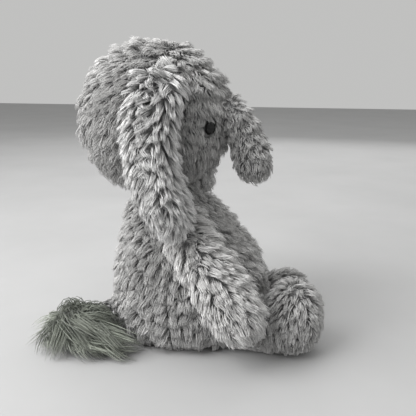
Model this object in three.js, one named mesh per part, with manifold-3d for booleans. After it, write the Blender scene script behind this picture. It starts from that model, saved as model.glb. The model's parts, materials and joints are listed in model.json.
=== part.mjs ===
// A seated plush elephant: shaggy cover sewn over loose fibre, pellets in the seat, bead eyes on
// locking washers, two-layer floppy ears, a hanging trunk and a cord tail that ends in a tuft.
// Millimetres. +Z is up, the face looks along -Y, the toy's right side is -X.
// The origin is the centre of the flat seat, on the surface that the toy sits on.
import * as THREE from "three";
import { mergeVertices } from "three/addons/utils/BufferGeometryUtils.js";
import Module from "manifold-3d";

const wasm = await Module();
wasm.setup();

// Driving dimensions
const WALL = 3; // backing cloth and packed pile of a cover
const THIN_WALL = 2; // the same on the small tubes
const GAP = 0.5; // left between one piece and the next
const SEAM_GAP = 1.2; // left where a limb meets the body
const HEAD_RADIUS = 53.5;
const HEAD_CENTRE = [0, 27, 172];
const NECK_HOLE_RADIUS = 20;
const NECK_CENTRE_Y = 17;
const NECK_THREAD_RING = { radius: 14, thread: 1.2, height: 117 };
const EYE_RADIUS = 5;
const EYE_TURN = 25; // degrees round from the face's middle
const EYE_DROP = 6; // degrees below the head's middle
const SHANK_RADIUS = 1.4;
const SHANK_LENGTH = 8;
const WASHER_RADIUS = 5;
const WASHER_THICKNESS = 1.2;
const PELLET_DEPTH = 26; // height of the pellets above the seat
const TAIL_CORD_RADIUS = 4;
const AROUND = 14; // sides of a round section
const OPEN_END_REACH = 8; // how far a hollow runs out through the open end of its tube
const SWEEP_SHARES = [0.5, 1]; // turns at which a moving piece is cleared of its neighbour

// Hinges of the sewn-on parts. Those on the right are mirrored for the left.
const TRUNK_HINGE = { pivot: [0, -26, 180], axis: [-1, 0, 0], degrees: 45 };
const EAR_HINGE = { pivot: [-47, 3, 203], axis: [0, 1, 0], degrees: 60 };
const ARM_HINGE = { pivot: [-33, -4, 92], axis: [-1, 0, 0], degrees: 30 };
const LEG_HINGE = { pivot: [-27, -45, 19], axis: [-1, 0, 0], degrees: 18 };

const PLUSH = { color: 0x8b8b88, roughness: 0.95 };
const LINING = { color: 0xb4b4b0, roughness: 0.9 };
const TUFT = { color: 0x5c6359, roughness: 0.9 };
const FIBRE = { color: 0xefefea, roughness: 1 };
const POUCH = { color: 0xd9d6cc, roughness: 0.9 };
const PELLET = { color: 0xf4f4f0, roughness: 0.5 };
const BEAD = { color: 0x0c0c0d, roughness: 0.12 };
const WASHER = { color: 0xe6e6e2, roughness: 0.5 };
const THREAD = { color: 0x70706d, roughness: 0.8 };

// Solids

function toManifold(geometry) {
  const bare = geometry.clone();
  bare.deleteAttribute("normal");
  bare.deleteAttribute("uv");
  const merged = mergeVertices(bare, 1e-4);
  return new wasm.Manifold(new wasm.Mesh({
    numProp: 3,
    vertProperties: new Float32Array(merged.attributes.position.array),
    triVerts: new Uint32Array(merged.index.array),
  }));
}

function toGeometry(solid) {
  const mesh = solid.getMesh();
  const geometry = new THREE.BufferGeometry();
  geometry.setAttribute("position", new THREE.BufferAttribute(new Float32Array(mesh.vertProperties), 3));
  geometry.setIndex(Array.from(mesh.triVerts));
  geometry.computeVertexNormals();
  return geometry;
}

// A closed surface through rings of points, each end closed by a fan to its own centre point.
function loft(rings) {
  const count = rings[0].length;
  const points = rings.flat();
  const first = points.push(centreOf(rings[0])) - 1;
  const last = points.push(centreOf(rings[rings.length - 1])) - 1;
  const faces = [];
  for (let ring = 0; ring + 1 < rings.length; ring += 1) {
    for (let side = 0; side < count; side += 1) {
      const a = ring * count + side;
      const b = ring * count + ((side + 1) % count);
      faces.push(a, b, b + count, a, b + count, a + count);
    }
  }
  const lastRing = (rings.length - 1) * count;
  for (let side = 0; side < count; side += 1) {
    const next = (side + 1) % count;
    faces.push(first, next, side);
    faces.push(last, lastRing + side, lastRing + next);
  }
  const geometry = new THREE.BufferGeometry();
  const flat = points.flatMap(({ x, y, z }) => [x, y, z]);
  geometry.setAttribute("position", new THREE.Float32BufferAttribute(flat, 3));
  geometry.setIndex(faces);
  return geometry;
}

function centreOf(ring) {
  const sum = ring.reduce((total, point) => total.add(point), new THREE.Vector3());
  return sum.divideScalar(ring.length);
}

// A level oval ring: a torso section.
function levelRing({ z, front, back, half }, shrink = 0) {
  const middle = (front + back) / 2;
  const reach = (back - front) / 2 - shrink;
  const ring = [];
  for (let side = 0; side < AROUND; side += 1) {
    const angle = (side / AROUND) * 2 * Math.PI;
    ring.push(new THREE.Vector3((half - shrink) * Math.cos(angle), middle + reach * Math.sin(angle), z));
  }
  return ring;
}

// A soft tube along a smooth spine. Each stop is [x, y, z, side radius, depth radius], and the
// section's side lies along the level direction nearest to `side`. Both ends are domed.
function softTube(stops, options) {
  const { shrink = 0, steps = 8, side = [1, 0, 0], section = ovalSection, flatStart = false } = options;
  const spine = new THREE.CatmullRomCurve3(stops.map(([x, y, z]) => new THREE.Vector3(x, y, z)));
  const sizes = stops.map(([, , , wide, deep]) => new THREE.Vector3(wide, deep, 0));
  const radii = new THREE.CatmullRomCurve3(sizes);
  const rings = [];
  for (let step = 0; step <= steps; step += 1) {
    const along = step / steps;
    const dome = flatStart ? domeAt(Math.max(along, 0.5)) : domeAt(along);
    const centre = spine.getPoint(along);
    const radius = radii.getPoint(along);
    const tangent = spine.getTangent(along);
    const level = new THREE.Vector3(...side);
    const across = level.clone().addScaledVector(tangent, -tangent.dot(level)).normalize();
    const deep = new THREE.Vector3().crossVectors(tangent, across);
    rings.push(section(centre, across, deep, (radius.x - shrink) * dome, (radius.y - shrink) * dome));
  }
  return toManifold(loft(rings));
}

// How far a domed tube has swelled at a place along it, from about 0.5 at its ends to 1.
function domeAt(along) {
  const fromEnd = Math.min(along, 1 - along);
  const reach = Math.min(fromEnd / 0.2, 1);
  return Math.sqrt(1 - (1 - reach) ** 2 * 0.75);
}

function ovalSection(centre, across, deep, wide, thick) {
  const ring = [];
  for (let step = 0; step < AROUND; step += 1) {
    const angle = (step / AROUND) * 2 * Math.PI;
    ring.push(centre.clone()
      .addScaledVector(across, wide * Math.cos(angle))
      .addScaledVector(deep, thick * Math.sin(angle)));
  }
  return ring;
}

function ball(radius, [x, y, z], stretch = [1, 1, 1]) {
  const geometry = new THREE.SphereGeometry(radius, 18, 12);
  geometry.scale(...stretch);
  geometry.translate(x, y, z);
  return toManifold(geometry);
}

// A cylinder along +Z from `bottom` to `top`, then turned and moved by `placing`.
function rod(radius, bottom, top, placing = new THREE.Matrix4(), sides = 12) {
  const geometry = new THREE.CylinderGeometry(radius, radius, top - bottom, sides);
  geometry.rotateX(Math.PI / 2);
  geometry.translate(0, 0, (top + bottom) / 2);
  geometry.applyMatrix4(placing);
  return toManifold(geometry);
}

function piece(name, solid, look) {
  const mesh = new THREE.Mesh(toGeometry(solid), new THREE.MeshStandardMaterial({ metalness: 0, ...look }));
  mesh.name = name;
  return mesh;
}

// The same hinge on the left side, where a turn about a front-to-back axis reverses.
function mirroredHinge({ pivot: [x, y, z], axis: [ax, ay, az], degrees }, sign) {
  if (sign < 0) {
    return { pivot: [x, y, z], axis: [ax, ay, az], degrees };
  }
  return { pivot: [-x, y, z], axis: [ax, -ay, -az], degrees };
}

// Torso

const TORSO_SECTIONS = [
  { z: 0, front: -38, back: 46, half: 41 },
  { z: 5, front: -48, back: 54, half: 50 },
  { z: 18, front: -55, back: 59, half: 56 },
  { z: 34, front: -58, back: 59, half: 57 },
  { z: 50, front: -56, back: 57, half: 54 },
  { z: 64, front: -44, back: 54, half: 49 },
  { z: 78, front: -28, back: 52, half: 42 },
  { z: 92, front: -14, back: 48, half: 34 },
  { z: 104, front: -5, back: 44, half: 28 },
  { z: 113, front: 0, back: 40, half: 23 },
];

// The torso's inside, from `bottom` to `top`, held `shrink` in from the outer face.
function torsoCore(bottom, top, shrink) {
  const rings = [levelRing({ ...torsoSectionAt(bottom), z: bottom }, shrink)];
  for (const section of TORSO_SECTIONS) {
    if (section.z > bottom && section.z < top) {
      rings.push(levelRing(section, shrink));
    }
  }
  rings.push(levelRing({ ...torsoSectionAt(top), z: top }, shrink));
  return toManifold(loft(rings));
}

function torsoSectionAt(z) {
  const upper = Math.max(1, TORSO_SECTIONS.findIndex((section) => section.z >= z));
  const above = TORSO_SECTIONS[upper];
  const below = TORSO_SECTIONS[upper - 1];
  const share = (z - below.z) / (above.z - below.z);
  const mix = (key) => below[key] + share * (above[key] - below[key]);
  return { front: mix("front"), back: mix("back"), half: mix("half") };
}

function torsoPieces() {
  const top = TORSO_SECTIONS[TORSO_SECTIONS.length - 1];
  const outside = toManifold(loft(TORSO_SECTIONS.map((section) => levelRing(section))));
  const mouth = toManifold(loft([levelRing(top, WALL), levelRing({ ...top, z: top.z + 10 }, WALL)]));
  const cover = outside.subtract(torsoCore(WALL, top.z, WALL)).subtract(mouth);
  const lining = WALL + GAP;
  const pouchOutside = torsoCore(lining, PELLET_DEPTH, lining);
  const pouchInside = torsoCore(lining + 1, PELLET_DEPTH - 1, lining + 1);
  const pouchNeck = rod(6, PELLET_DEPTH - 4, PELLET_DEPTH + 4);
  const pellets = torsoCore(lining + 1 + GAP, PELLET_DEPTH - 2, lining + 1 + GAP);
  const filling = torsoCore(PELLET_DEPTH + GAP, top.z - 3, lining);
  return [
    piece("torso_cover", cover, PLUSH),
    piece("pellet_pouch", pouchOutside.subtract(pouchInside).subtract(pouchNeck), POUCH),
    piece("seat_pellets", pellets, PELLET),
    piece("torso_filling", filling, FIBRE),
  ];
}

// The ring of thread that closes the neck.
function neckPiece() {
  const { radius, thread, height } = NECK_THREAD_RING;
  const geometry = new THREE.TorusGeometry(radius, thread, 6, 20);
  geometry.translate(0, NECK_CENTRE_Y, height);
  return piece("neck_stitching", toManifold(geometry), THREAD);
}

// Head

const SIDES = [["right", -1], ["left", 1]];

// Places +Z outward through an eye, with the origin on the head's surface.
function eyePlacing(sign) {
  const turn = THREE.MathUtils.degToRad(EYE_TURN);
  const drop = THREE.MathUtils.degToRad(EYE_DROP);
  const outward = new THREE.Vector3(
    sign * Math.sin(turn) * Math.cos(drop),
    -Math.cos(turn) * Math.cos(drop),
    -Math.sin(drop),
  );
  const turned = new THREE.Quaternion().setFromUnitVectors(new THREE.Vector3(0, 0, 1), outward);
  const surface = new THREE.Vector3(...HEAD_CENTRE).addScaledVector(outward, HEAD_RADIUS);
  return new THREE.Matrix4().compose(surface, turned, new THREE.Vector3(1, 1, 1));
}

function headPieces() {
  const [x, y, z] = HEAD_CENTRE;
  const hole = rod(NECK_HOLE_RADIUS, z - HEAD_RADIUS - 5, z - HEAD_RADIUS + 12,
    new THREE.Matrix4().makeTranslation(x, NECK_CENTRE_Y, 0), 24);
  let cover = ball(HEAD_RADIUS, HEAD_CENTRE).subtract(ball(HEAD_RADIUS - WALL, HEAD_CENTRE)).subtract(hole);
  let filling = ball(HEAD_RADIUS - WALL - GAP, HEAD_CENTRE);
  const pieces = [];
  for (const [side, sign] of SIDES) {
    const placing = eyePlacing(sign);
    cover = cover.subtract(rod(SHANK_RADIUS + GAP, -WALL - 1, 1, placing));
    filling = filling.subtract(rod(WASHER_RADIUS + 1, -SHANK_LENGTH - 3, 1, placing, 16));
    pieces.push(piece(`${side}_eye`, eyeSolid(placing), BEAD));
    pieces.push(piece(`${side}_eye_washer`, washerSolid(placing), WASHER));
  }
  pieces.push(piece("head_cover", cover, PLUSH));
  pieces.push(piece("head_filling", filling, FIBRE));
  return pieces;
}

// A domed bead on a shank that goes through the cover.
function eyeSolid(placing) {
  const bead = new THREE.SphereGeometry(EYE_RADIUS, 12, 8);
  bead.scale(1, 1, 0.8);
  bead.translate(0, 0, EYE_RADIUS * 0.3);
  bead.applyMatrix4(placing);
  const back = rod(EYE_RADIUS * 2, -EYE_RADIUS, GAP + 0.4, placing);
  return toManifold(bead).subtract(back).add(rod(SHANK_RADIUS, -SHANK_LENGTH, EYE_RADIUS, placing));
}

// The locking washer that grips the shank behind the cover.
function washerSolid(placing) {
  const outer = -WALL - GAP - 0.6;
  return rod(WASHER_RADIUS, outer - WASHER_THICKNESS, outer, placing, 16)
    .subtract(rod(SHANK_RADIUS + 0.3, outer - WASHER_THICKNESS - 1, outer + 1, placing));
}

// Trunk

const TRUNK_STOPS = [
  [0, -20, 181, 10.5, 10.5],
  [0, -33.5, 173, 10.5, 10.5],
  [0, -42.5, 160, 10.5, 10.5],
  [0, -47.5, 147, 11, 11],
  [0, -50, 136, 11, 11],
  [0, -51, 128, 10, 10],
];

function trunkPieces() {
  const room = sweptSpace(ball(HEAD_RADIUS + SEAM_GAP, HEAD_CENTRE), TRUNK_HINGE);
  return tubePieces("trunk", TRUNK_STOPS, room, THIN_WALL, PLUSH);
}

// A cover that is open where it meets `neighbour`, and the filling inside it.
function tubePieces(name, stops, neighbour, wall, look) {
  const outside = softTube(stops, { flatStart: true });
  const hollow = softTube(insetStops(stops, wall), { shrink: wall, flatStart: true });
  const fillInset = wall + GAP;
  const inside = softTube(insetStops(stops, fillInset + GAP), { shrink: fillInset, flatStart: true });
  return [
    piece(`${name}_cover`, biggest(outside.subtract(hollow).subtract(neighbour)), look),
    piece(`${name}_filling`, biggest(inside.subtract(neighbour)), FIBRE),
  ];
}

// The same spine with its start pushed back out through the open end and its tip drawn in.
function insetStops(stops, inset) {
  const last = stops.length - 1;
  const start = pushed(stops[0], stops[1], OPEN_END_REACH);
  return [start, ...stops.slice(1, last), pushed(stops[last], stops[last - 1], -inset)];
}

// A stop moved straight away from its neighbour by a distance.
function pushed(stop, neighbour, distance) {
  const from = new THREE.Vector3(...neighbour);
  const to = new THREE.Vector3(...stop);
  const away = to.clone().sub(from).normalize();
  to.addScaledVector(away, distance);
  return [to.x, to.y, to.z, stop[3], stop[4]];
}

function biggest(solid) {
  return solid.decompose().sort((a, b) => b.volume() - a.volume())[0];
}

// Ears: an outer layer behind and a lining in front, sewn face to face along their edge. The tip
// of the right one has swung forward. The left one hangs straight down.

const EAR_STOPS = {
  right: [
    [-45, 1, 205, 7, 12],
    [-57, 5, 193, 10, 13],
    [-65, 8, 174, 10, 13],
    [-68, 7, 152, 13, 11],
    [-68, 2, 132, 18, 9],
    [-69, -5, 117, 17, 8],
    [-70, -10, 102, 11, 7],
  ],
  left: [
    [45, 1, 205, 7, 12],
    [57, 6, 193, 10, 13],
    [65, 11, 174, 10, 13],
    [68, 14, 152, 13, 11],
    [68, 15, 132, 18, 9],
    [69, 14, 117, 17, 8],
    [70, 13, 102, 11, 7],
  ],
};

// One half of an oval section: `sign` 1 keeps the front half and -1 the back half.
function halfSection(sign) {
  return (centre, across, deep, wide, thick) => {
    const ring = [];
    const arcSteps = 7;
    for (let step = 0; step <= arcSteps; step += 1) {
      const angle = (step / arcSteps) * Math.PI * sign;
      ring.push(centre.clone()
        .addScaledVector(across, wide * Math.cos(angle))
        .addScaledVector(deep, thick * Math.sin(angle) + sign * GAP));
    }
    return sign > 0 ? ring : ring.reverse();
  };
}

function earPieces(side, sign) {
  const room = sweptSpace(ball(HEAD_RADIUS + SEAM_GAP, HEAD_CENTRE), mirroredHinge(EAR_HINGE, sign));
  const layers = [["outer", 1, PLUSH], ["lining", -1, LINING]];
  return layers.map(([layer, face, look]) => {
    const solid = softTube(EAR_STOPS[side], { section: halfSection(face), steps: 9 });
    return piece(`${side}_ear_${layer}`, biggest(solid.subtract(room)), look);
  });
}

// Arms and legs. The right ones reach forward. The left arm hangs closer to the side, and the
// left foot has slumped outward.

const ARM_STOPS = {
  right: [
    [-24, 2, 96, 12, 12],
    [-47, -16, 84, 13, 13],
    [-58, -34, 66, 14, 14],
    [-61, -47, 48, 14.5, 14.5],
    [-61, -58, 30, 14.5, 14.5],
  ],
  left: [
    [24, 6, 94, 12, 12],
    [43, -2, 80, 13, 13],
    [54, -13, 62, 14, 14],
    [58, -25, 45, 14.5, 14.5],
    [58, -36, 29, 14.5, 14.5],
  ],
};

const LEG_STOPS = {
  right: [
    [-27, -28, 19, 16, 17],
    [-27, -52, 19, 16, 17],
    [-27, -72, 19, 16.5, 17],
    [-26, -88, 20, 15, 14],
  ],
  left: [
    [27, -28, 19, 16, 17],
    [28, -46, 19, 16, 17],
    [30, -62, 19, 16, 17],
    [32, -74, 19, 15, 14],
  ],
};

const FOOT_RADIUS = 20.5;
const FEET = {
  right: { centre: [-25, -86, 28], stretch: [0.92, 0.92, 1.3] },
  left: { centre: [35, -72, 20], stretch: [1.2, 0.92, 0.9] },
};

function armPieces(side, sign) {
  const room = sweptSpace(torsoSpace(), mirroredHinge(ARM_HINGE, sign));
  return tubePieces(`${side}_arm`, ARM_STOPS[side], room, WALL, PLUSH);
}

// The torso's outer shape, grown by the gap that a limb keeps to it.
function torsoSpace() {
  const grown = TORSO_SECTIONS.map((section) => levelRing(section, -SEAM_GAP));
  return toManifold(loft(grown));
}

// All the room that a still piece takes up as seen by a piece that turns `degrees` about a hinge.
function sweptSpace(solid, { pivot, axis, degrees }) {
  const [x, y, z] = pivot;
  let room = solid;
  for (const share of SWEEP_SHARES) {
    const turn = new THREE.Matrix4().makeTranslation(x, y, z)
      .multiply(new THREE.Matrix4().makeRotationAxis(
        new THREE.Vector3(...axis), THREE.MathUtils.degToRad(-degrees * share)))
      .multiply(new THREE.Matrix4().makeTranslation(-x, -y, -z));
    room = room.add(solid.transform(turn.elements));
  }
  return room;
}

function legPieces(side, sign) {
  const stops = LEG_STOPS[side];
  const { centre, stretch } = FEET[side];
  const limb = (shrink, ends) => softTube(ends, { shrink, flatStart: true })
    .add(ball(FOOT_RADIUS - shrink, centre, stretch));
  const room = sweptSpace(torsoSpace(), mirroredHinge(LEG_HINGE, sign));
  const inside = limb(WALL + GAP, insetStops(stops, WALL + GAP)).subtract(room);
  const cover = limb(0, stops).subtract(limb(WALL, insetStops(stops, WALL))).subtract(room);
  return [
    piece(`${side}_leg_cover`, biggest(cover), PLUSH),
    piece(`${side}_leg_filling`, biggest(inside), FIBRE),
  ];
}

// Tail: a cord sewn to the back that lies on the surface, with a tuft of long strands at its end.

const TAIL_STOPS = [
  [-3, 66.5, 13, TAIL_CORD_RADIUS, TAIL_CORD_RADIUS],
  [-12, 72, 12.5, TAIL_CORD_RADIUS, TAIL_CORD_RADIUS],
  [-24, 75, 12, TAIL_CORD_RADIUS, TAIL_CORD_RADIUS],
  [-33, 76, 11, TAIL_CORD_RADIUS, TAIL_CORD_RADIUS],
];

const TUFT_CENTRE = [-60, 74];
const TUFT_SECTIONS = [
  { z: 0.4, half: 17, reach: 22 },
  { z: 3, half: 22, reach: 28 },
  { z: 9, half: 24, reach: 31 },
  { z: 15, half: 21, reach: 27 },
  { z: 20, half: 12, reach: 17 },
];

function tailPieces() {
  const rings = TUFT_SECTIONS.map(({ z, half, reach }) => {
    const ring = levelRing({ z, half, front: -reach, back: reach });
    ring.forEach((point) => point.add(new THREE.Vector3(...TUFT_CENTRE, 0)));
    return ring;
  });
  const cord = softTube(TAIL_STOPS, { side: [0, 0, 1] });
  return [
    piece("tail_cord", cord, PLUSH),
    piece("tail_tuft", toManifold(loft(rings)), TUFT),
  ];
}

const elephant = new THREE.Group();
elephant.add(...torsoPieces(), neckPiece(), ...headPieces(), ...trunkPieces());
for (const [side, sign] of SIDES) {
  elephant.add(...earPieces(side, sign), ...armPieces(side, sign), ...legPieces(side, sign));
}
elephant.add(...tailPieces());

export default elephant;
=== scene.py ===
"""A seated shaggy plush elephant: padded skins puffed from the CAD solids, with a pile of mesh locks on them.

Metres, in the CAD frame: +Z up, the face looks along -Y, the toy's right side is -X.
"""
import json
import math
from dataclasses import dataclass, replace

import bmesh
import bpy
import numpy as np
from mathutils import Matrix, Vector


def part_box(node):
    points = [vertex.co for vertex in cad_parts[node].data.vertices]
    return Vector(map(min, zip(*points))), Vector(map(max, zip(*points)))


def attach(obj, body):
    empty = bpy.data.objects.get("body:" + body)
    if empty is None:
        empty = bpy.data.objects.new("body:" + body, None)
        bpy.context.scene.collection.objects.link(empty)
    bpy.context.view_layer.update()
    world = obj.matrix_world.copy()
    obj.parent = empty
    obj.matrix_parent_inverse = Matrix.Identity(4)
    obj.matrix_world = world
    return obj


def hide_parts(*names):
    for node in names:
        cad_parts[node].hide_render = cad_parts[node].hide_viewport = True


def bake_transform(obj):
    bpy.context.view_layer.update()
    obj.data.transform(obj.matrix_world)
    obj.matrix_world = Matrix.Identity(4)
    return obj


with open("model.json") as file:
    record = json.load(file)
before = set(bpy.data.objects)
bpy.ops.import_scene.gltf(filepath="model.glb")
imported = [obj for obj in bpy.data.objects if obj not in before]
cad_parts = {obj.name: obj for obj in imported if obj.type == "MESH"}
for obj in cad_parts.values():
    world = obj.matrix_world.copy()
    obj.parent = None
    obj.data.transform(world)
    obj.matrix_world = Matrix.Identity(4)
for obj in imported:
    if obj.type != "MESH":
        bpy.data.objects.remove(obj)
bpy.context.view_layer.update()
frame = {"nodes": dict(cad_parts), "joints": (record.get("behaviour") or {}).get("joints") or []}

MM = 0.001
UP = np.array((0.0, 0.0, 1.0))
SIDES = ("right", "left")
SEED = 20
chance = np.random.default_rng(SEED)

# Camera
VIEW_AZIMUTH = 285.0  # degrees round from the face, towards the toy's right side
CAMERA_DISTANCE = 433 * MM  # level distance from the seat's middle
CAMERA_HEIGHT = 205 * MM
CAMERA_PITCH = 13.6  # degrees downward
CAMERA_OFFSET = 13.9 * MM  # sideways, to the picture's right
CAMERA_LENS = 48.5
SENSOR_WIDTH = 36.0

# Room
LIGHT_TARGET = (0, 0, 0.12)
LIGHTS = (  # name; metres towards the camera, to the picture's right and up; watts; metres across
    ("key", 0.5, -0.8, 0.75, 20.0, 1.0),
    ("sky", 0.0, -0.35, 1.3, 11.0, 1.6),
    ("fill", 0.9, 0.9, 0.35, 1.0, 1.2),
    ("back", -1.0, 0.3, 0.7, 5.0, 1.2),
)
ROOM_COLOUR = (0.78, 0.78, 0.77, 1)
ROOM_STRENGTH = 0.68
FLOOR_REACH = 3.0
FLOOR_TONES = (0.36, 0.39)

# Padding
BODY_VOXEL = 3.6 * MM  # torso and head
LIMB_VOXEL = 3 * MM
THIN_VOXEL = 2.4 * MM  # trunk and ears
CORD_VOXEL = 1.4 * MM
SOFTEN_SHARE = 0.6
SOFTEN_STEPS = 6
PUFF_FRAMES = 16
PUFF_PRESSURE = 4.0
PUFF_CAP = 2.5 * MM

# Seams: how far past its seam the span of a cover's seam reaches along it
TRUNK_SEAM = 12 * MM
EAR_SEAM = 14 * MM
ARM_SEAM = 16 * MM
LEG_SEAM = 12 * MM

# Neck: (radius, height) in millimetres, from inside the head down to inside the torso
NECK_PROFILE = (
    (0.0, 123.0), (19.0, 122.5), (23.5, 119.5), (23.0, 115.0), (23.8, 110.0), (23.0, 106.0), (19.0, 104.0),
    (0.0, 103.5),
)
NECK_SETBACK = 19.0 * MM  # behind the torso's middle
NECK_DEPTH = 0.88  # front to back against side to side
NECK_SEAM = (0.108, 0.121)  # the heights of the neck's seam span, from the torso to the head
NECK_SHAG_SPAN = (107 * MM, 120.5 * MM)  # the heights between which pile grows on it
NECK_FACETS = 40

# Eyes: (radius, height) in millimetres, from the dome down to the end of the shank
BEAD_PROFILE = (
    (0.0, 5.5), (1.5, 5.3), (3.0, 4.6), (4.2, 3.4), (4.8, 2.4), (5.0, 1.5), (4.7, 0.9), (3.6, 0.6),
    (1.4, 0.5), (1.4, -7.0), (0.0, -7.0),
)
BEAD_FACETS = 24
EYE_CLEARANCE = 6.0 * MM  # no pile nearer to the eye than this
EYE_TRIM = (0.008, 0.009)  # where the pile is shortest, and how much farther out it is at full length

# Where the pile changes over a part
NAPE_EXTRA = 0.35
NAPE_REACH = 0.04
SEAT_HEIGHT = 0.022  # pile below this is pressed by the floor
FOOT_START = 0.055  # in front of the torso's middle
FOOT_TURN = 0.02
TORSO_SHAG_FLOOR = 2  # millimetres; no pile lower than this
LEG_SHAG_FLOOR = 3

# Strands
STRAND_SIDES = 3
ROOT_DEPTH = 0.8 * MM  # how far a strand starts below the skin
RING_PLACES = (0.0, 0.4, 0.78)  # rings along a strand, before its tip
RING_WIDTHS = (0.8, 1.0, 0.65)
STRAND_PLACES = RING_PLACES + (1.0,)
FLOOR_CLEARANCE = 0.5 * MM
CURL_STEPS = 12
WAVE_TURN = 5.0  # radians from root to tip
LOCK_ROUNDS = 3
ROOTS_AT_ONCE = 2000
HOOK = 1.4 * MM  # how far the tip of a lock strays to one side

# Spreads of the random draws: ranges are shares, single values are standard deviations
LOCK_LENGTHS = (0.88, 1.12)
STRAND_LENGTHS = (0.72, 1.12)
GATHER_SHARES = (0.7, 1.1)
WIDTH_SHARES = (0.75, 1.2)
LOCK_ROOT_STRAY = 6.0  # degrees
LOCK_TIP_STRAY = 8.0
STRAND_ROOT_STRAY = 8.0
STRAND_TIP_STRAY = 9.0
LOCK_TONE_STRAY = 0.07
STRAND_TONE_STRAY = 0.13

# Crests: rows of locks that stand up, bent by waves of (wavelength, amount)
CREST_WAVES = ((60 * MM, 0.3), (26 * MM, 0.1), (12 * MM, 0.04))
CREST_LENGTH = 0.5
CREST_ROOT_LIFT = 20  # degrees
CREST_TIP_LIFT = 12
# Painted light: the rows that stand up are coloured paler, as if lit along their tops.
CREST_PAINTED_LIGHT = 0.12

# Tuft
TUFT_LOCKS = 84
LOCK_STRANDS = 42
TUFT_STOPS = np.array((0.0, 0.22, 0.45, 0.68, 0.86, 1.0))
TUFT_CROWN = np.array((4.0, -3.0, 2.0)) * MM  # from the middle of the CAD tuft
TUFT_ROOM_LOW = np.array((12, 26, 0)) * MM  # spread allowed past the CAD tuft
TUFT_ROOM_HIGH = np.array((6, 11, 0)) * MM
TUFT_ROOM_SHARE = 0.93
TUFT_HEIGHT = 23 * MM
TUFT_END_HEIGHT = 15 * MM
TUFT_SCATTER = np.array((1.0, 1.0, 0.7)) * MM
TUFT_SCATTER_LIMIT = 1.6
TUFT_RIPPLE = 1.6 * MM
TUFT_RIPPLE_TURN = 8.0  # radians from crown to tip
TUFT_STRAND_RADIUS = 0.33 * MM


# Meshes


def new_object(name, data):
    piece = bpy.data.objects.new(name, data)
    bpy.context.collection.objects.link(piece)
    return piece


def applied(piece):
    """The piece's mesh with its modifiers worked in, and the modifiers gone."""
    graph = bpy.context.evaluated_depsgraph_get()
    mesh = bpy.data.meshes.new_from_object(piece.evaluated_get(graph))
    piece.modifiers.clear()
    piece.data = mesh
    return mesh


def coordinates(mesh):
    flat = np.empty(len(mesh.vertices) * 3)
    mesh.vertices.foreach_get("co", flat)
    return flat.reshape(-1, 3)


def set_coordinates(mesh, points):
    mesh.vertices.foreach_set("co", np.asarray(points, float).ravel())
    mesh.update()


def unit(vectors):
    return vectors / np.maximum(np.linalg.norm(vectors, axis=-1, keepdims=True), 1e-12)


def along_surface(direction, normals):
    """The part of a direction that lies in the surface, as unit vectors."""
    direction = np.broadcast_to(direction, normals.shape)
    return unit(direction - normals * np.sum(direction * normals, axis=1, keepdims=True))


def smooth(value):
    value = np.clip(value, 0.0, 1.0)
    return value * value * (3 - 2 * value)


def lathe(name, profile, around):
    """A closed solid of revolution about Z from (radius, height) pairs in millimetres."""
    work = bmesh.new()
    rings = []
    for radius, height in profile:
        if radius == 0:
            rings.append([work.verts.new((0, 0, height * MM))])
            continue
        ring = []
        for step in range(around):
            turn = 2 * math.pi * step / around
            place = (radius * MM * math.cos(turn), radius * MM * math.sin(turn), height * MM)
            ring.append(work.verts.new(place))
        rings.append(ring)
    for above, below in zip(rings, rings[1:]):
        for step in range(around):
            after = (step + 1) % around
            corners = [above[step % len(above)], below[step % len(below)], below[after % len(below)],
                       above[after % len(above)]]
            face = list(dict.fromkeys(corners))
            work.faces.new(face)
    bmesh.ops.recalc_face_normals(work, faces=work.faces)
    mesh = bpy.data.meshes.new(name)
    work.to_mesh(mesh)
    work.free()
    mesh.polygons.foreach_set("use_smooth", [True] * len(mesh.polygons))
    return mesh


def box_middle(node):
    low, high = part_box(node)
    return (np.array(low) + np.array(high)) / 2


# Padded skins


def joined_nodes(name, nodes):
    """One mesh of several CAD nodes, in the CAD frame."""
    work = bmesh.new()
    for node in nodes:
        mesh = frame["nodes"][node].data.copy()
        mesh.transform(frame["nodes"][node].matrix_world)
        work.from_mesh(mesh)
        bpy.data.meshes.remove(mesh)
    mesh = bpy.data.meshes.new(name)
    work.to_mesh(mesh)
    work.free()
    return mesh


def remeshed_skin(name, nodes, voxel):
    """A closed, even skin round the CAD nodes, smoothed, ready to be puffed."""
    skin = new_object(f"{name}_skin", joined_nodes(f"{name}_skin", nodes))
    remesh = skin.modifiers.new("remesh", "REMESH")
    remesh.mode = "VOXEL"
    remesh.voxel_size = voxel
    soften = skin.modifiers.new("soften", "SMOOTH")
    soften.factor = SOFTEN_SHARE
    soften.iterations = SOFTEN_STEPS
    applied(skin)
    keep_outer_shell(skin.data)
    return skin


def keep_outer_shell(mesh):
    """Deletes every loose part but the largest, which is the outside."""
    work = bmesh.new()
    work.from_mesh(mesh)
    unseen = set(work.verts)
    shells = []
    while unseen:
        stack = [unseen.pop()]
        shell = [stack[0]]
        while stack:
            for edge in stack.pop().link_edges:
                for vertex in edge.verts:
                    if vertex in unseen:
                        unseen.remove(vertex)
                        shell.append(vertex)
                        stack.append(vertex)
        shells.append(shell)
    shells.sort(key=len)
    for shell in shells[:-1]:
        bmesh.ops.delete(work, geom=shell, context="VERTS")
    work.to_mesh(mesh)
    work.free()


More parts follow.
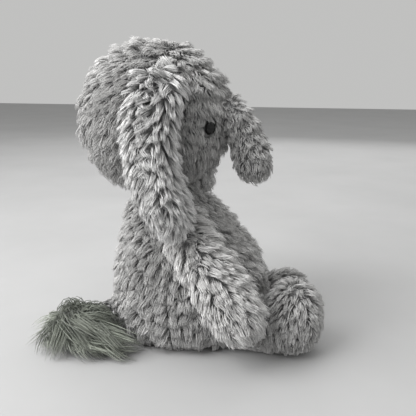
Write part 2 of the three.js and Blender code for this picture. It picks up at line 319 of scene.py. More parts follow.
def puff(skins):
    """Blows the skins up as cloth, all in one run, and keeps each point within the cap."""
    rest = {skin.name: coordinates(skin.data) for skin in skins}
    for skin in skins:
        cloth = skin.modifiers.new("puff", "CLOTH")
        cloth.settings.use_pressure = True
        cloth.settings.uniform_pressure_force = PUFF_PRESSURE
        cloth.settings.effector_weights.gravity = 0.0
        cloth.settings.quality = 4
        cloth.point_cache.frame_start = 1
        cloth.point_cache.frame_end = PUFF_FRAMES
    for step in range(1, PUFF_FRAMES + 1):
        bpy.context.scene.frame_set(step)
    for skin in skins:
        mesh = applied(skin)
        moved = coordinates(mesh) - rest[skin.name]
        reach = np.linalg.norm(moved, axis=1, keepdims=True)
        moved *= np.minimum(1.0, PUFF_CAP / np.maximum(reach, 1e-9))
        set_coordinates(mesh, rest[skin.name] + moved)
    bpy.context.scene.frame_set(1)


def finish_skin(skin):
    """One subdivision, smooth shading, and no part of it below the floor."""
    subdivide = skin.modifiers.new("subdivide", "SUBSURF")
    subdivide.levels = 1
    subdivide.render_levels = 1
    mesh = applied(skin)
    points = coordinates(mesh)
    points[:, 2] = np.maximum(points[:, 2], 0.0)
    set_coordinates(mesh, points)
    mesh.polygons.foreach_set("use_smooth", [True] * len(mesh.polygons))


# Pile


class Surface:
    """The triangles of a skin, for spreading roots over it."""

    def __init__(self, mesh):
        mesh.calc_loop_triangles()
        corners = np.empty(len(mesh.loop_triangles) * 3, int)
        mesh.loop_triangles.foreach_get("vertices", corners)
        self.corners = corners.reshape(-1, 3)
        self.points = coordinates(mesh)
        normals = np.empty(len(mesh.vertices) * 3)
        mesh.vertices.foreach_get("normal", normals)
        self.normals = normals.reshape(-1, 3)
        a, b, c = (self.points[self.corners[:, side]] for side in range(3))
        self.areas = np.linalg.norm(np.cross(b - a, c - a), axis=1) / 2

    def spread(self, density):
        """Random points, `density` to the square metre, with their normals."""
        count = int(self.areas.sum() * density)
        picked = chance.choice(len(self.areas), count, p=self.areas / self.areas.sum())
        u = np.sqrt(chance.random(count))[:, None]
        v = chance.random(count)[:, None]
        weights = (1 - u, u * (1 - v), u * v)
        corner = self.corners[picked]
        points = sum(weight * self.points[corner[:, side]] for side, weight in enumerate(weights))
        normals = sum(weight * self.normals[corner[:, side]] for side, weight in enumerate(weights))
        return points, unit(normals)


def nearest(points, centres, flows, squeeze):
    """The nearest centre to each point. Cells are wider across the flow than along it."""
    found = np.empty(len(points), int)
    for start in range(0, len(points), ROOTS_AT_ONCE):
        gap = points[start:start + ROOTS_AT_ONCE, None, :] - centres[None, :, :]
        lengthwise = np.sum(gap * flows[None, :, :], axis=2)
        distance = np.sum(gap * gap, axis=2) + (squeeze * squeeze - 1) * lengthwise ** 2
        found[start:start + ROOTS_AT_ONCE] = np.argmin(distance, axis=1)
    return found


def group_roots(points, normals, flow, pile):
    """Groups roots into locks: each root's lock, and each lock's centre, normal and flow."""
    per_lock = pile.density * pile.cell * pile.cell / pile.squeeze
    count = max(1, int(len(points) / max(1.0, per_lock)))
    chosen = chance.choice(len(points), count, replace=False)
    centres = points[chosen]
    centre_normals = normals[chosen]
    for _ in range(LOCK_ROUNDS):
        centre_flow = flow(centres, centre_normals)
        member = nearest(points, centres, centre_flow, pile.squeeze)
        roots = np.bincount(member, minlength=count)
        filled = roots > 0
        size = np.maximum(roots, 1)
        for axis in range(3):
            total = np.bincount(member, points[:, axis], count)
            turned = np.bincount(member, normals[:, axis], count)
            centres[filled, axis] = (total / size)[filled]
            centre_normals[filled, axis] = (turned / size)[filled]
        centre_normals = unit(centre_normals)
    return member, centres, centre_normals, flow(centres, centre_normals)


def curl_path(roots, normals, flows, length, start_angle, end_angle):
    """Points along strands that leave the skin near the normal and curl over along the flow."""
    turned = np.linspace(0, 1, CURL_STEPS)[None, :]
    angles = start_angle[:, None] + (end_angle - start_angle)[:, None] * turned
    foot = np.zeros((len(roots), 1))
    rise = np.concatenate([foot, np.cumsum(np.cos(angles), axis=1) / CURL_STEPS], axis=1)
    run = np.concatenate([foot, np.cumsum(np.sin(angles), axis=1) / CURL_STEPS], axis=1)
    path = []
    for place in STRAND_PLACES:
        at = place * CURL_STEPS
        low = min(int(at), CURL_STEPS - 1)
        share = at - low
        up = (rise[:, low] * (1 - share) + rise[:, low + 1] * share) * length
        over = (run[:, low] * (1 - share) + run[:, low + 1] * share) * length
        path.append(roots + normals * up[:, None] + flows * over[:, None])
    return np.stack(path, axis=1)


@dataclass
class Pile:
    """How the pile of one piece is set: counts per square millimetre, sizes in millimetres."""

    density: float = 1.0
    cell: float = 8.0  # width of a lock
    squeeze: float = 3.0  # how much wider than long a lock's footing is
    length: float = 10.5
    width: float = 0.68
    root_angle: float = 22.0  # degrees from the normal
    tip_angle: float = 104.0
    gather: float = 0.5  # how far the tips of a lock close up
    turn: float = 12.0  # degrees, each lock's own swing
    stray: float = 9.0  # degrees, each strand's own swing
    wave: float = 0.5
    tier: float = 8.0  # distance from one row of crests to the next
    crest: float = 1.1  # how strongly the rows stand out
    tone: float = 0.5  # paler above a half, darker below


@dataclass
class Locks:
    """The locks of one pile: the lock that each root is in, and how each lock lies."""

    member: np.ndarray
    flows: np.ndarray
    lengths: np.ndarray
    crest: np.ndarray
    root_angles: np.ndarray
    tip_angles: np.ndarray
    path: np.ndarray


def crests(points, flows, pitch):
    """0 to 1 over the skin: rows across the flow, bent and broken so that no row runs true."""
    bending = np.random.default_rng(SEED)
    rows = -points[:, 2] + 0.35 * points[:, 1] * flows[:, 1]
    bends = np.zeros(len(points))
    for wavelength, amount in CREST_WAVES:
        for _ in range(2):
            heading = unit(bending.normal(0, 1, 3))
            phase = bending.uniform(0, 2 * math.pi)
            bends += amount * np.sin(points @ heading * 2 * math.pi / wavelength + phase)
    return 0.5 + 0.5 * np.cos(2 * math.pi * (rows / (pitch * MM) + bends))


def set_locks(points, normals, flow, pile, longer):
    """Gathers the roots into locks and lays the middle line of each lock."""
    member, centres, lock_normals, flows = group_roots(points, normals, flow, pile)
    count = len(centres)
    swing = np.radians(chance.normal(0, pile.turn, count))[:, None]
    across = np.cross(lock_normals, flows)
    flows = unit(flows * np.cos(swing) + across * np.sin(swing))
    lengths = pile.length * MM * chance.uniform(*LOCK_LENGTHS, count) * longer(centres)
    crest = (crests(centres, flows, pile.tier) - 0.5) * pile.crest
    lengths *= 1 + CREST_LENGTH * crest
    root_stray = chance.normal(0, LOCK_ROOT_STRAY, count)
    tip_stray = chance.normal(0, LOCK_TIP_STRAY, count)
    root_angles = np.radians(pile.root_angle - CREST_ROOT_LIFT * crest + root_stray)
    tip_angles = np.radians(pile.tip_angle - CREST_TIP_LIFT * crest + tip_stray)
    path = curl_path(centres, lock_normals, flows, lengths, root_angles, tip_angles)
    hook = np.cross(lock_normals, flows) * chance.normal(0, HOOK, count)[:, None]
    path += hook[:, None, :] * np.square(STRAND_PLACES)[None, :, None]
    return Locks(member, flows, lengths, crest, root_angles, tip_angles, path)


def lay_strands(points, normals, locks, pile):
    """The path of each strand, drawn towards the middle line of its lock and clear of the floor."""
    strands = len(points)
    member = locks.member
    flows = locks.flows[member]
    sides = np.cross(normals, flows)
    stray = np.radians(chance.normal(0, pile.stray, strands))[:, None]
    flows = along_surface(flows * np.cos(stray) + sides * np.sin(stray), normals)
    lengths = locks.lengths[member] * chance.uniform(*STRAND_LENGTHS, strands)
    root_angles = locks.root_angles[member] + np.radians(chance.normal(0, STRAND_ROOT_STRAY, strands))
    tip_angles = locks.tip_angles[member] + np.radians(chance.normal(0, STRAND_TIP_STRAY, strands))
    path = curl_path(points, normals, flows, lengths, root_angles, tip_angles)
    pull = pile.gather * chance.uniform(*GATHER_SHARES, strands)
    phase = chance.uniform(0, 2 * math.pi, strands)
    for ring, place in enumerate(STRAND_PLACES):
        share = (pull * smooth(place * 1.1))[:, None]
        path[:, ring] = path[:, ring] * (1 - share) + locks.path[member, ring] * share
        path[:, ring] += sides * (np.sin(phase + place * WAVE_TURN) * pile.wave * MM * place)[:, None]
    path[:, 0] -= normals * ROOT_DEPTH
    path[:, :, 2] = np.maximum(path[:, :, 2], FLOOR_CLEARANCE + 0.5 * pile.width * MM)
    return path


def grow(name, surface, flow, pile, keep, longer):
    """A piece made of tapered strands in gathered locks, rooted on the surface."""
    points, normals = surface.spread(pile.density * 1e6)
    wanted = keep(points)
    points, normals = points[wanted], normals[wanted]
    locks = set_locks(points, normals, flow, pile, longer)
    path = lay_strands(points, normals, locks, pile)
    widths = pile.width * MM / 2 * chance.uniform(*WIDTH_SHARES, len(points))
    # The crested locks are painted paler: painted light on the standing rows, over each lock's random tone.
    lock_tone_and_light = pile.tone + CREST_PAINTED_LIGHT * locks.crest + chance.normal(0, LOCK_TONE_STRAY, len(locks.crest))
    tone = lock_tone_and_light[locks.member] + chance.normal(0, STRAND_TONE_STRAY, len(points))
    return strand_mesh(name, path, normals, widths, np.clip(tone, 0, 1))


def strand_corners(path, facing, widths):
    """The corners of every strand: a ring at each stop but the last, and then the tip."""
    strands, stops = path.shape[:2]
    rings = stops - 1
    heading = np.empty_like(path)
    heading[:, 1:-1] = path[:, 2:] - path[:, :-2]
    heading[:, 0] = path[:, 1] - path[:, 0]
    heading[:, -1] = path[:, -1] - path[:, -2]
    heading = unit(heading)
    side = unit(np.cross(heading, facing[:, None, :]) + 1e-9)
    top = np.cross(side, heading)
    corners = np.empty((strands, rings * STRAND_SIDES + 1, 3))
    ring_widths = np.interp(np.linspace(0, 1, rings), np.linspace(0, 1, len(RING_WIDTHS)), RING_WIDTHS)
    for ring in range(rings):
        size = (widths * ring_widths[ring])[:, None]
        for corner in range(STRAND_SIDES):
            angle = 2 * math.pi * corner / STRAND_SIDES + math.pi / 2
            offset = side[:, ring] * math.cos(angle) + top[:, ring] * math.sin(angle)
            corners[:, ring * STRAND_SIDES + corner] = path[:, ring] + offset * size
    corners[:, -1] = path[:, -1]
    return corners


def strand_mesh(name, path, facing, widths, shade):
    """Closed tapered strands: rings of three sides, a tip and a root cap."""
    corners = strand_corners(path, facing, widths)
    strands, per_strand = corners.shape[:2]
    rings = path.shape[1] - 1
    faces = strand_faces(rings)
    face_sizes = np.array([len(face) for face in faces])
    loops = np.concatenate(faces)
    starts = np.cumsum(face_sizes) - face_sizes
    each = np.arange(strands)[:, None]
    all_loops = (loops[None, :] + per_strand * each).ravel()
    all_starts = (starts[None, :] + len(loops) * each).ravel()
    mesh = bpy.data.meshes.new(name)
    mesh.vertices.add(strands * per_strand)
    mesh.vertices.foreach_set("co", corners.ravel())
    mesh.loops.add(len(all_loops))
    mesh.loops.foreach_set("vertex_index", all_loops)
    mesh.polygons.add(len(all_starts))
    mesh.polygons.foreach_set("loop_start", all_starts)
    mesh.update(calc_edges=True)
    mesh.polygons.foreach_set("use_smooth", np.ones(len(all_starts), bool))
    along = np.concatenate([np.repeat(np.linspace(0, 1, rings + 1)[:-1], STRAND_SIDES), [1.0]])
    put_attribute(mesh, "along", np.tile(along, strands))
    put_attribute(mesh, "shade", np.repeat(shade, per_strand))
    return new_object(name, mesh)


def strand_faces(rings):
    """The faces of one strand, by corner number: the root cap, the sides and the tip."""
    faces = [tuple(reversed(range(STRAND_SIDES)))]
    for ring in range(rings - 1):
        for corner in range(STRAND_SIDES):
            a = ring * STRAND_SIDES + corner
            b = ring * STRAND_SIDES + (corner + 1) % STRAND_SIDES
            faces.append((a, b, b + STRAND_SIDES, a + STRAND_SIDES))
    last = (rings - 1) * STRAND_SIDES
    tip = rings * STRAND_SIDES
    for corner in range(STRAND_SIDES):
        faces.append((last + corner, last + (corner + 1) % STRAND_SIDES, tip))
    return faces


def put_attribute(mesh, name, values):
    attribute = mesh.attributes.new(name, "FLOAT", "POINT")
    attribute.data.foreach_set("value", np.asarray(values, np.float32))


# Materials


def grey(value, warm=0.0):
    """A grey of this value, leaning to yellow by `warm`."""
    return (value * (1 + warm), value, value * (1 - 1.5 * warm))


def principled(name, roughness, sheen=0.0):
    material = bpy.data.materials.new(name)
    material.use_nodes = True
    shader = material.node_tree.nodes["Principled BSDF"]
    shader.inputs["Roughness"].default_value = roughness
    shader.inputs["Sheen Weight"].default_value = sheen
    shader.inputs["Sheen Roughness"].default_value = 0.5
    return material, material.node_tree, shader


def add_node(tree, kind, **values):
    node = tree.nodes.new(kind)
    for key, value in values.items():
        setattr(node, key, value)
    return node


def ramp(tree, factor, stops):
    """A colour that follows the factor through (place, colour) stops."""
    node = add_node(tree, "ShaderNodeValToRGB")
    elements = node.color_ramp.elements
    while len(elements) < len(stops):
        elements.new(0.5)
    for element, (place, colour) in zip(elements, stops):
        element.position = place
        element.color = (*colour, 1)
    tree.links.new(factor, node.inputs["Fac"])
    return node.outputs["Color"]


def noise(tree, scale, detail=4.0, stretch=(1, 1, 1)):
    where = add_node(tree, "ShaderNodeTexCoord")
    mapping = add_node(tree, "ShaderNodeMapping")
    mapping.inputs["Scale"].default_value = stretch
    texture = add_node(tree, "ShaderNodeTexNoise")
    texture.inputs["Scale"].default_value = scale
    texture.inputs["Detail"].default_value = detail
    texture.inputs["Roughness"].default_value = 0.6
    tree.links.new(where.outputs["Object"], mapping.inputs["Vector"])
    tree.links.new(mapping.outputs["Vector"], texture.inputs["Vector"])
    return texture.outputs["Fac"]


def multiplied(tree, first, second):
    node = add_node(tree, "ShaderNodeMix", data_type="RGBA", blend_type="MULTIPLY")
    node.inputs["Factor"].default_value = 1.0
    tree.links.new(first, node.inputs["A"])
    tree.links.new(second, node.inputs["B"])
    return node.outputs["Result"]


def bumped(tree, shader, height, strength, distance):
    bump = add_node(tree, "ShaderNodeBump")
    bump.inputs["Strength"].default_value = strength
    bump.inputs["Distance"].default_value = distance
    tree.links.new(height, bump.inputs["Height"])
    tree.links.new(bump.outputs["Normal"], shader.inputs["Normal"])


def strand_material(name, root, middle, tip, roughness=0.72, sheen=0.2):
    """Strands darkened towards the root as painted shade inside the pile and pale at the tip, each with a
    tone of its own.
    """
    material, tree, shader = principled(name, roughness, sheen)
    along = add_node(tree, "ShaderNodeAttribute", attribute_name="along")
    shade = add_node(tree, "ShaderNodeAttribute", attribute_name="shade")
    # Painted shade: the root end of each strand is coloured darker, where the pile shades itself.
    root_shade_tone = ramp(tree, along.outputs["Fac"], [(0.0, root), (0.5, middle), (1.0, tip)])
    # Each strand's tone. It also carries painted light on the crests and on the pale arm and ear, and painted
    # shade on the darker neck; its top end is raised so that the lit arm can be painted pale.
    strand_tone_and_light = ramp(tree, shade.outputs["Fac"], [(0.0, grey(0.6)), (0.5, grey(0.92)), (1.0, grey(1.4))])
    patches = ramp(tree, noise(tree, 38.0), [(0.3, grey(0.94)), (0.7, grey(1.04))])
    colour = multiplied(tree, multiplied(tree, root_shade_tone, strand_tone_and_light), patches)
    tree.links.new(colour, shader.inputs["Base Color"])
    bumped(tree, shader, noise(tree, 2600.0, stretch=(1, 1, 0.25)), 0.35, 0.0003)
    return material


def shaded_backing_material(name, dark, light):
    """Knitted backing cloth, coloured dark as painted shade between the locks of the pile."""
    material, tree, shader = principled(name, 0.95)
    colour = ramp(tree, noise(tree, 420.0, 6.0), [(0.3, dark), (0.75, light)])
    tree.links.new(colour, shader.inputs["Base Color"])
    bumped(tree, shader, noise(tree, 900.0), 0.8, 0.0008)
    return material


# In every strand material below, the root colour is painted shade, darker where the pile shades itself.
PLUSH_STRANDS = strand_material("plush_strands", grey(0.3, 0.01), grey(0.47, 0.008), grey(0.56, 0.008))
# The backings are painted dark: painted shade in the gaps between the locks.
PLUSH_BACKING_SHADE = shaded_backing_material("plush_backing_shade", grey(0.18), grey(0.3))
# The ear strands are paler: partly the ear's own paler fabric, partly painted light on the lit ears.
EAR_STRANDS_PALE_AND_LIT = strand_material("ear_strands_pale_and_lit", grey(0.2), grey(0.52, 0.005), grey(0.72, 0.005))
EAR_BACKING_SHADE = shaded_backing_material("ear_backing_shade", grey(0.2), grey(0.4))
TUFT_STRANDS = strand_material(
    "tuft_strands", (0.04, 0.045, 0.036), (0.14, 0.155, 0.125), (0.34, 0.36, 0.31), roughness=0.5)


def plain_material(name, low, high, scale, roughness, bump, sheen=0.0):
    """One even stuff: a mottle between two colours, over a finer bump."""
    material, tree, shader = principled(name, roughness, sheen)
    tree.links.new(ramp(tree, noise(tree, scale), [(0.3, low), (0.7, high)]), shader.inputs["Base Color"])
    bumped(tree, shader, noise(tree, scale * 3), bump, 0.0004)
    return material


FIBRE = plain_material("fibre", grey(0.7), grey(0.9), scale=260.0, roughness=1.0, bump=0.9, sheen=0.3)
POUCH_CLOTH = plain_material(
    "pouch_cloth", grey(0.5, 0.03), grey(0.7, 0.03), scale=1400.0, roughness=0.9, bump=0.6)
PELLETS = plain_material("pellets", grey(0.7), grey(0.92), scale=700.0, roughness=0.45, bump=1.0)
WASHER_PLASTIC = plain_material(
    "washer_plastic", grey(0.62), grey(0.7), scale=300.0, roughness=0.5, bump=0.1)
THREAD = plain_material("thread", grey(0.12), grey(0.22), scale=1800.0, roughness=0.8, bump=0.8)


def bead_material():
    """Black glass-like plastic, with only a faint shine."""
    material, tree, shader = principled("bead", 0.12)
    tree.links.new(ramp(tree, noise(tree, 900.0), [(0.2, grey(0.004)), (0.9, grey(0.010))]),
                   shader.inputs["Base Color"])
    shader.inputs["Specular IOR Level"].default_value = 0.25
    shader.inputs["Coat Weight"].default_value = 0.12
    shader.inputs["Coat Roughness"].default_value = 0.05
    return material


BEAD = bead_material()

INNER_LOOKS = {
    "filling": FIBRE,
    "pellet_pouch": POUCH_CLOTH,
    "seat_pellets": PELLETS,
    "washer": WASHER_PLASTIC,
    "stitching": THREAD,
}


def dress_inner_nodes():
    """The pieces inside keep their CAD shape and get their own material."""
    for name, node in frame["nodes"].items():
        for word, material in INNER_LOOKS.items():
            if word in name:
                node.data.materials.clear()
                node.data.materials.append(material)


# Parts

SHAG = Pile()
HEAD_PILE = replace(SHAG, tone=0.48, gather=0.4)
# The neck pile is toned darker: painted shade under the head.
NECK_PILE = replace(SHAG, length=8.0, cell=6.0, tone=0.44, crest=0.4)
TRUNK_PILE = replace(SHAG, length=8.0, cell=5.5, tone=0.52)
# The ear pile's pale tone is partly the ear's own fabric, partly painted light on the lit ear.
EAR_PILE = replace(SHAG, length=14.0, cell=4.6, density=1.2, width=0.66, root_angle=38, tip_angle=68,
                   squeeze=1.2, turn=8, stray=6, gather=0.7, wave=0.3, crest=0.15, tone=0.7)
# The arm pile is toned pale: partly its own brushing, partly painted light on the lit arm and paw.
ARM_PILE = replace(SHAG, length=12.5, cell=5.5, squeeze=1.5, tip_angle=84, turn=11, crest=0.5, tone=0.95)
LEG_PILE = replace(SHAG, tone=0.6, length=9.5, cell=5.5, squeeze=1.5, tip_angle=92, crest=0.3)
CORD_PILE = replace(SHAG, length=4.5, cell=3.0, squeeze=1.3, width=0.55, density=2.0, crest=0.2)

PLUSH = (PLUSH_BACKING_SHADE, PLUSH_STRANDS)
EAR_PLUSH = (EAR_BACKING_SHADE, EAR_STRANDS_PALE_AND_LIT)


def flow_along(direction):
    """The way the pile lies on a part: one direction, kept in the skin."""
    return lambda points, normals: along_surface(np.array(direction), normals)


def head_flow(points, normals):
    """Back and down over the crown, nape and sides, down the face."""
    offset = points - box_middle("head_filling")
    rearward = smooth((offset[:, 1] / 0.05 + 0.9) / 1.5)[:, None]
    direction = np.array((0.0, 0.55, 0.0)) * rearward - UP
    return along_surface(direction, normals)


def leg_flow(points, normals):
    """Forward along the leg, and down where it reaches the foot."""
    at_foot = smooth((-points[:, 1] - FOOT_START) / FOOT_TURN)[:, None]
    direction = np.array((0.0, -1.0, -0.25)) * (1 - at_foot) + np.array((0.0, 0.05, -1.0)) * at_foot
    return along_surface(direction, normals)


def everywhere(points):
    return np.ones(len(points), bool)


def above_floor(height):
    return lambda points: points[:, 2] > height * MM


def on_neck(points):
    return (points[:, 2] > NECK_SHAG_SPAN[0]) & (points[:, 2] < NECK_SHAG_SPAN[1])


def eye_distance(points):
    """The distance from each point to the nearer eye."""
    distances = [np.linalg.norm(points - box_middle(f"{side}_eye"), axis=1) for side in SIDES]
    return np.minimum(*distances)


def clear_of_eyes(points):
    return eye_distance(points) > EYE_CLEARANCE


def quarters(middle):
    """Four panels round an upright line through `middle`."""
    def panel(right, front):
        return lambda points: ((points[:, 0] < middle[0]) == right) & ((points[:, 1] < middle[1]) == front)

    return {
        "front_right": panel(True, True),
        "front_left": panel(False, True),
        "back_right": panel(True, False),
        "back_left": panel(False, False),
    }


def full_length(points):
    return np.ones(len(points))


def pressed_by_floor(points):
    """The pile that the toy sits on lies short and flat."""
    return 0.5 + 0.5 * smooth(points[:, 2] / SEAT_HEIGHT)


def head_length(points):
    """The pile is longer at the back of the head below its middle, and trimmed round the eyes."""
    offset = points - box_middle("head_filling")
    nape = 1 + NAPE_EXTRA * smooth(offset[:, 1] / NAPE_REACH) * smooth(-offset[:, 2] / NAPE_REACH)
    return nape * (0.5 + 0.5 * smooth((eye_distance(points) - EYE_TRIM[0]) / EYE_TRIM[1]))


def joint_place(name):
    joint = next(joint for joint in frame["joints"] if joint["name"] == name)
    return np.array(joint["pos_m"])


def seam_blend(parent, child, joint, towards, reach):
    """The two bodies and the span from the sewn seam at a joint to a point `reach` along the limb."""
    start = joint_place(joint)
    middle = box_middle(towards)
    heading = (middle - start) / np.linalg.norm(middle - start)
    return parent, child, tuple(start), tuple(start + heading * reach)


def mount(piece, material, body, replaced=()):
    """Gives a piece its material, hides the parts it replaces, and rides it on one body, or bakes its place
    in when it spans two.
    """
    piece.data.materials.clear()
    piece.data.materials.append(material)
    if replaced:
        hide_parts(*replaced)
    if isinstance(body, tuple):
        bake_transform(piece)
    else:
        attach(piece, body)


def part(name, skin, looks, body, replaced, flow, pile, panels=None, keep=everywhere,
         longer=full_length):
    """Finishes a puffed skin, grows its pile in panels and mounts all of it on the body."""
    shade_backing, strand_look = looks
    finish_skin(skin)
    surface = Surface(skin.data)
    for panel, inside in (panels or {"": everywhere}).items():
        label = f"{name}_{panel}_pile" if panel else f"{name}_pile"
        strands = grow(label, surface, flow, pile, lambda points: inside(points) & keep(points), longer)
        mount(strands, strand_look, body)
    mount(skin, shade_backing, body, replaced)


def build_skins():
    skins = {
        "torso": remeshed_skin(
            "torso", ["torso_cover", "torso_filling", "pellet_pouch", "seat_pellets"], BODY_VOXEL),
        "head": remeshed_skin("head", ["head_cover", "head_filling"], BODY_VOXEL),
        "trunk": remeshed_skin("trunk", ["trunk_cover", "trunk_filling"], THIN_VOXEL),
        "tail_cord": remeshed_skin("tail_cord", ["tail_cord"], CORD_VOXEL),
    }
    for side in SIDES:
        for layer in (f"{side}_ear_outer", f"{side}_ear_lining"):
            skins[layer] = remeshed_skin(layer, [layer], THIN_VOXEL)
        for limb in (f"{side}_arm", f"{side}_leg"):
            skins[limb] = remeshed_skin(limb, [f"{limb}_cover", f"{limb}_filling"], LIMB_VOXEL)
    return skins


def build_body():
    skins = build_skins()
    puff([skin for name, skin in skins.items() if "ear" not in name and "tail" not in name])
    part("torso", skins["torso"], PLUSH, "torso", ["torso_cover"], flow_along((0.0, 0.0, -1.0)),
         SHAG, quarters(np.zeros(3)), above_floor(TORSO_SHAG_FLOOR), pressed_by_floor)
    part("head", skins["head"], PLUSH, "head", ["head_cover"], head_flow, HEAD_PILE,
         quarters(box_middle("head_filling")), clear_of_eyes, head_length)
    part("trunk", skins["trunk"], PLUSH,
         seam_blend("head", "trunk", "trunk_lift", "trunk_cover", TRUNK_SEAM), ["trunk_cover"],
         flow_along((0, -0.2, -1)), TRUNK_PILE)
    part("tail_cord", skins["tail_cord"], PLUSH, "tail", ["tail_cord"],
         flow_along((-1.0, 0.1, 0.0)), CORD_PILE)
    build_neck()
    for side in SIDES:
        build_ear(side, skins)
        build_limbs(side, skins)


def build_neck():
    """The gathered top of the torso that is drawn up under the head, round the neck's stitches."""
    mesh = lathe("neck_skin", NECK_PROFILE, NECK_FACETS)
    flattened = Matrix.Scale(NECK_DEPTH, 4, (0, 1, 0))
    mesh.transform(Matrix.Translation((0, NECK_SETBACK, 0)) @ flattened)
    x, y, _z = joint_place("head_nod")
    seam = ("neck", "head", (x, y, NECK_SEAM[0]), (x, y, NECK_SEAM[1]))
    part("neck", new_object("neck_skin", mesh), PLUSH, seam, [], flow_along((0.0, 0.0, -1.0)),
         NECK_PILE, keep=on_neck)


def build_ear(side, skins):
    """Two layers sewn edge to edge. The pile of each falls away from the seam between them."""
    seam = seam_blend("head", f"{side}_ear", f"{side}_ear_flap", f"{side}_ear_outer", EAR_SEAM)
    for layer, slot, lean in (("outer", "plush", 0.55), ("lining", "lining", -0.55)):
        name = f"{side}_ear_{layer}"
        part(name, skins[name], EAR_PLUSH, seam, [name], flow_along((0.0, lean, -1.0)), EAR_PILE)


def build_limbs(side, skins):
    arm = f"{side}_arm"
    part(arm, skins[arm], PLUSH, seam_blend("torso", arm, f"{arm}_lift", f"{arm}_cover", ARM_SEAM),
         [f"{arm}_cover"], flow_along((0.0, -0.75, -1.0)), ARM_PILE)
    leg = f"{side}_leg"
    part(leg, skins[leg], PLUSH, seam_blend("torso", leg, f"{leg}_lift", f"{leg}_cover", LEG_SEAM),
         [f"{leg}_cover"], leg_flow, LEG_PILE, keep=above_floor(LEG_SHAG_FLOOR), longer=pressed_by_floor)


def build_eyes():
    """A domed bead on each side of the face, on a shank that goes through the cover."""
    centre = box_middle("head_filling")
    low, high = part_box("head_cover")
    head_radius = (high[0] - low[0]) / 2
    for side in SIDES:
        outward = Vector(box_middle(f"{side}_eye") - centre).normalized()
        base = Vector(centre) + outward * head_radius
        mesh = lathe(f"{side}_bead", BEAD_PROFILE, BEAD_FACETS)
        bead = new_object(f"{side}_bead", mesh)
        turned = Vector((0, 0, 1)).rotation_difference(outward).to_matrix().to_4x4()
        mesh.transform(Matrix.Translation(base) @ turned)
        rounded = bead.modifiers.new("rounded", "SUBSURF")
        rounded.levels = 2
        rounded.render_levels = 2
        applied(bead)
        mount(bead, BEAD, "head", [f"{side}_eye"])


def lock_room(headings, crown, low, high):
    """The reach at which a lock with this heading would leave its allowed spread."""
    nearest_edge = low - TUFT_ROOM_LOW
    farthest_edge = high + TUFT_ROOM_HIGH
    half = (high - low) / 2
    room = np.full(len(headings), np.inf)
    for axis, along in enumerate((np.cos(headings), np.sin(headings))):
        edge = np.where(along < 0, nearest_edge[axis], farthest_edge[axis])
        room = np.minimum(room, (edge - crown[axis]) / (along * half[axis]))
    return TUFT_ROOM_SHARE * room


def tuft_locks(crown, low, high):
    """How each lock lies: its heading, bend and reach, its rise midway and its height at the end."""
    heading = (np.arange(TUFT_LOCKS) + chance.uniform(0, 1, TUFT_LOCKS)) / TUFT_LOCKS * 2 * math.pi
    towards_body = smooth(-np.sin(heading)) * chance.uniform(0.0, 0.6, TUFT_LOCKS)
    reach = chance.uniform(0.35, 1.45, TUFT_LOCKS) + towards_body
    bend = np.clip(chance.normal(0.9, 1.1, TUFT_LOCKS), -1.6, 2.6)
    reach = np.minimum(reach, lock_room(heading + bend / 2, crown, low, high))
    rise = chance.uniform(0.05, 1.0, TUFT_LOCKS) ** 1.5 * TUFT_HEIGHT
    end_height = chance.uniform(0.05, 1.0, TUFT_LOCKS) ** 2 * TUFT_END_HEIGHT
    return heading, bend, reach, rise, end_height


def tuft_path(lock):
    """The strands of the tuft, which leave one crown and lie along their locks. `lock` is each one's lock."""
    low, high = (np.array(corner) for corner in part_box("tail_tuft"))
    half = (high - low) / 2
    crown = (low + high) / 2 + TUFT_CROWN
    heading, bend, reach, rise, end_height = tuft_locks(crown, low, high)
    strands = len(lock)
    stray = np.clip(chance.normal(0, 1, (strands, 3)), -TUFT_SCATTER_LIMIT, TUFT_SCATTER_LIMIT)
    scatter = stray * TUFT_SCATTER
    begin = crown + scatter * 3.0
    shorter = chance.uniform(0.6, 1.08, strands)
    phase = chance.uniform(0, 2 * math.pi, TUFT_LOCKS)
    path = np.empty((strands, len(TUFT_STOPS), 3))
    for index, stop in enumerate(TUFT_STOPS):
        place = stop * shorter
        angle = heading[lock] + bend[lock] * (place - 0.5)
        out = place * reach[lock]
        arch = np.sin(math.pi * np.minimum(place * 0.92 + 0.08, 1.0)) * rise[lock]
        path[:, index, 0] = begin[:, 0] + np.cos(angle) * half[0] * out
        path[:, index, 1] = begin[:, 1] + np.sin(angle) * half[1] * out
        path[:, index, 2] = begin[:, 2] * (1 - place) + end_height[lock] * place + arch
        loose = 0.9 * np.sin(math.pi * np.clip(place, 0.05, 0.96)) + 0.2
        path[:, index] += scatter * loose[:, None]
        ripple = np.sin(phase[lock] + place * TUFT_RIPPLE_TURN) * TUFT_RIPPLE * place
        path[:, index, 0] -= np.sin(angle) * ripple
        path[:, index, 1] += np.cos(angle) * ripple
    path[:, :, 2] = np.maximum(path[:, :, 2], FLOOR_CLEARANCE + 0.4 * MM)
    return path


def build_tuft():
    """The tassel at the tail's end: locks of silky strands that spill from one crown over the floor."""
    lock = np.repeat(np.arange(TUFT_LOCKS), LOCK_STRANDS)
    path = tuft_path(lock)
    widths = TUFT_STRAND_RADIUS * chance.uniform(0.7, 1.3, len(lock))
    facing = np.broadcast_to(UP, (len(lock), 3))
    tone = 0.5 + chance.normal(0, 0.24, TUFT_LOCKS)[lock] + chance.normal(0, 0.16, len(lock))
    tuft = strand_mesh("tail_tuft_strands", path, facing, widths, np.clip(tone, 0, 1))
    mount(tuft, TUFT_STRANDS, "tuft", ["tail_tuft"])


# Stage


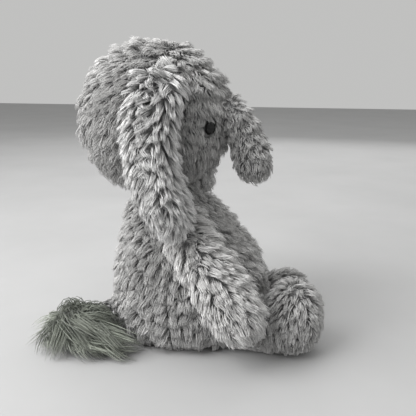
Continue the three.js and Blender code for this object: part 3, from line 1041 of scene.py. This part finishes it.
def view_axes():
    """Level directions from the toy: towards the camera, and to the picture's right."""
    azimuth = math.radians(VIEW_AZIMUTH)
    towards = Vector((math.sin(azimuth), -math.cos(azimuth), 0))
    right = Vector((math.cos(azimuth), math.sin(azimuth), 0))
    return towards, right


def build_camera():
    towards, right = view_axes()
    data = bpy.data.cameras.new("camera")
    data.lens = CAMERA_LENS
    data.sensor_width = SENSOR_WIDTH
    camera = new_object("camera", data)
    camera.location = towards * CAMERA_DISTANCE + right * CAMERA_OFFSET + Vector((0, 0, CAMERA_HEIGHT))
    pitch = math.radians(CAMERA_PITCH)
    look = -towards * math.cos(pitch) - Vector((0, 0, 1)) * math.sin(pitch)
    camera.rotation_euler = look.to_track_quat("-Z", "Y").to_euler()
    bpy.context.scene.camera = camera


def build_floor():
    mesh = bpy.data.meshes.new("floor")
    corners = [(x * FLOOR_REACH, y * FLOOR_REACH, 0) for x, y in ((-1, -1), (1, -1), (1, 1), (-1, 1))]
    mesh.from_pydata(corners, [], [(0, 1, 2, 3)])
    floor = new_object("floor", mesh)
    paint, tree, shader = principled("floor_paint", 0.9)
    low, high = FLOOR_TONES
    tree.links.new(ramp(tree, noise(tree, 6.0), [(0.3, grey(low)), (0.7, grey(high))]),
                   shader.inputs["Base Color"])
    mesh.materials.append(paint)


def build_lights():
    towards, right = view_axes()
    for name, forward, sideways, up, power, size in LIGHTS:
        data = bpy.data.lights.new(name, "AREA")
        data.energy = power
        data.size = size
        light = new_object(name, data)
        light.location = towards * forward + right * sideways + Vector((0, 0, up))
        look = Vector(LIGHT_TARGET) - light.location
        light.rotation_euler = look.to_track_quat("-Z", "Y").to_euler()
    room = bpy.data.worlds.new("room")
    room.use_nodes = True
    background = room.node_tree.nodes["Background"]
    background.inputs["Color"].default_value = ROOM_COLOUR
    background.inputs["Strength"].default_value = ROOM_STRENGTH
    bpy.context.scene.world = room
    bpy.context.scene.view_settings.view_transform = "Standard"


build_camera()
build_floor()
build_lights()
dress_inner_nodes()
build_body()
build_eyes()
build_tuft()
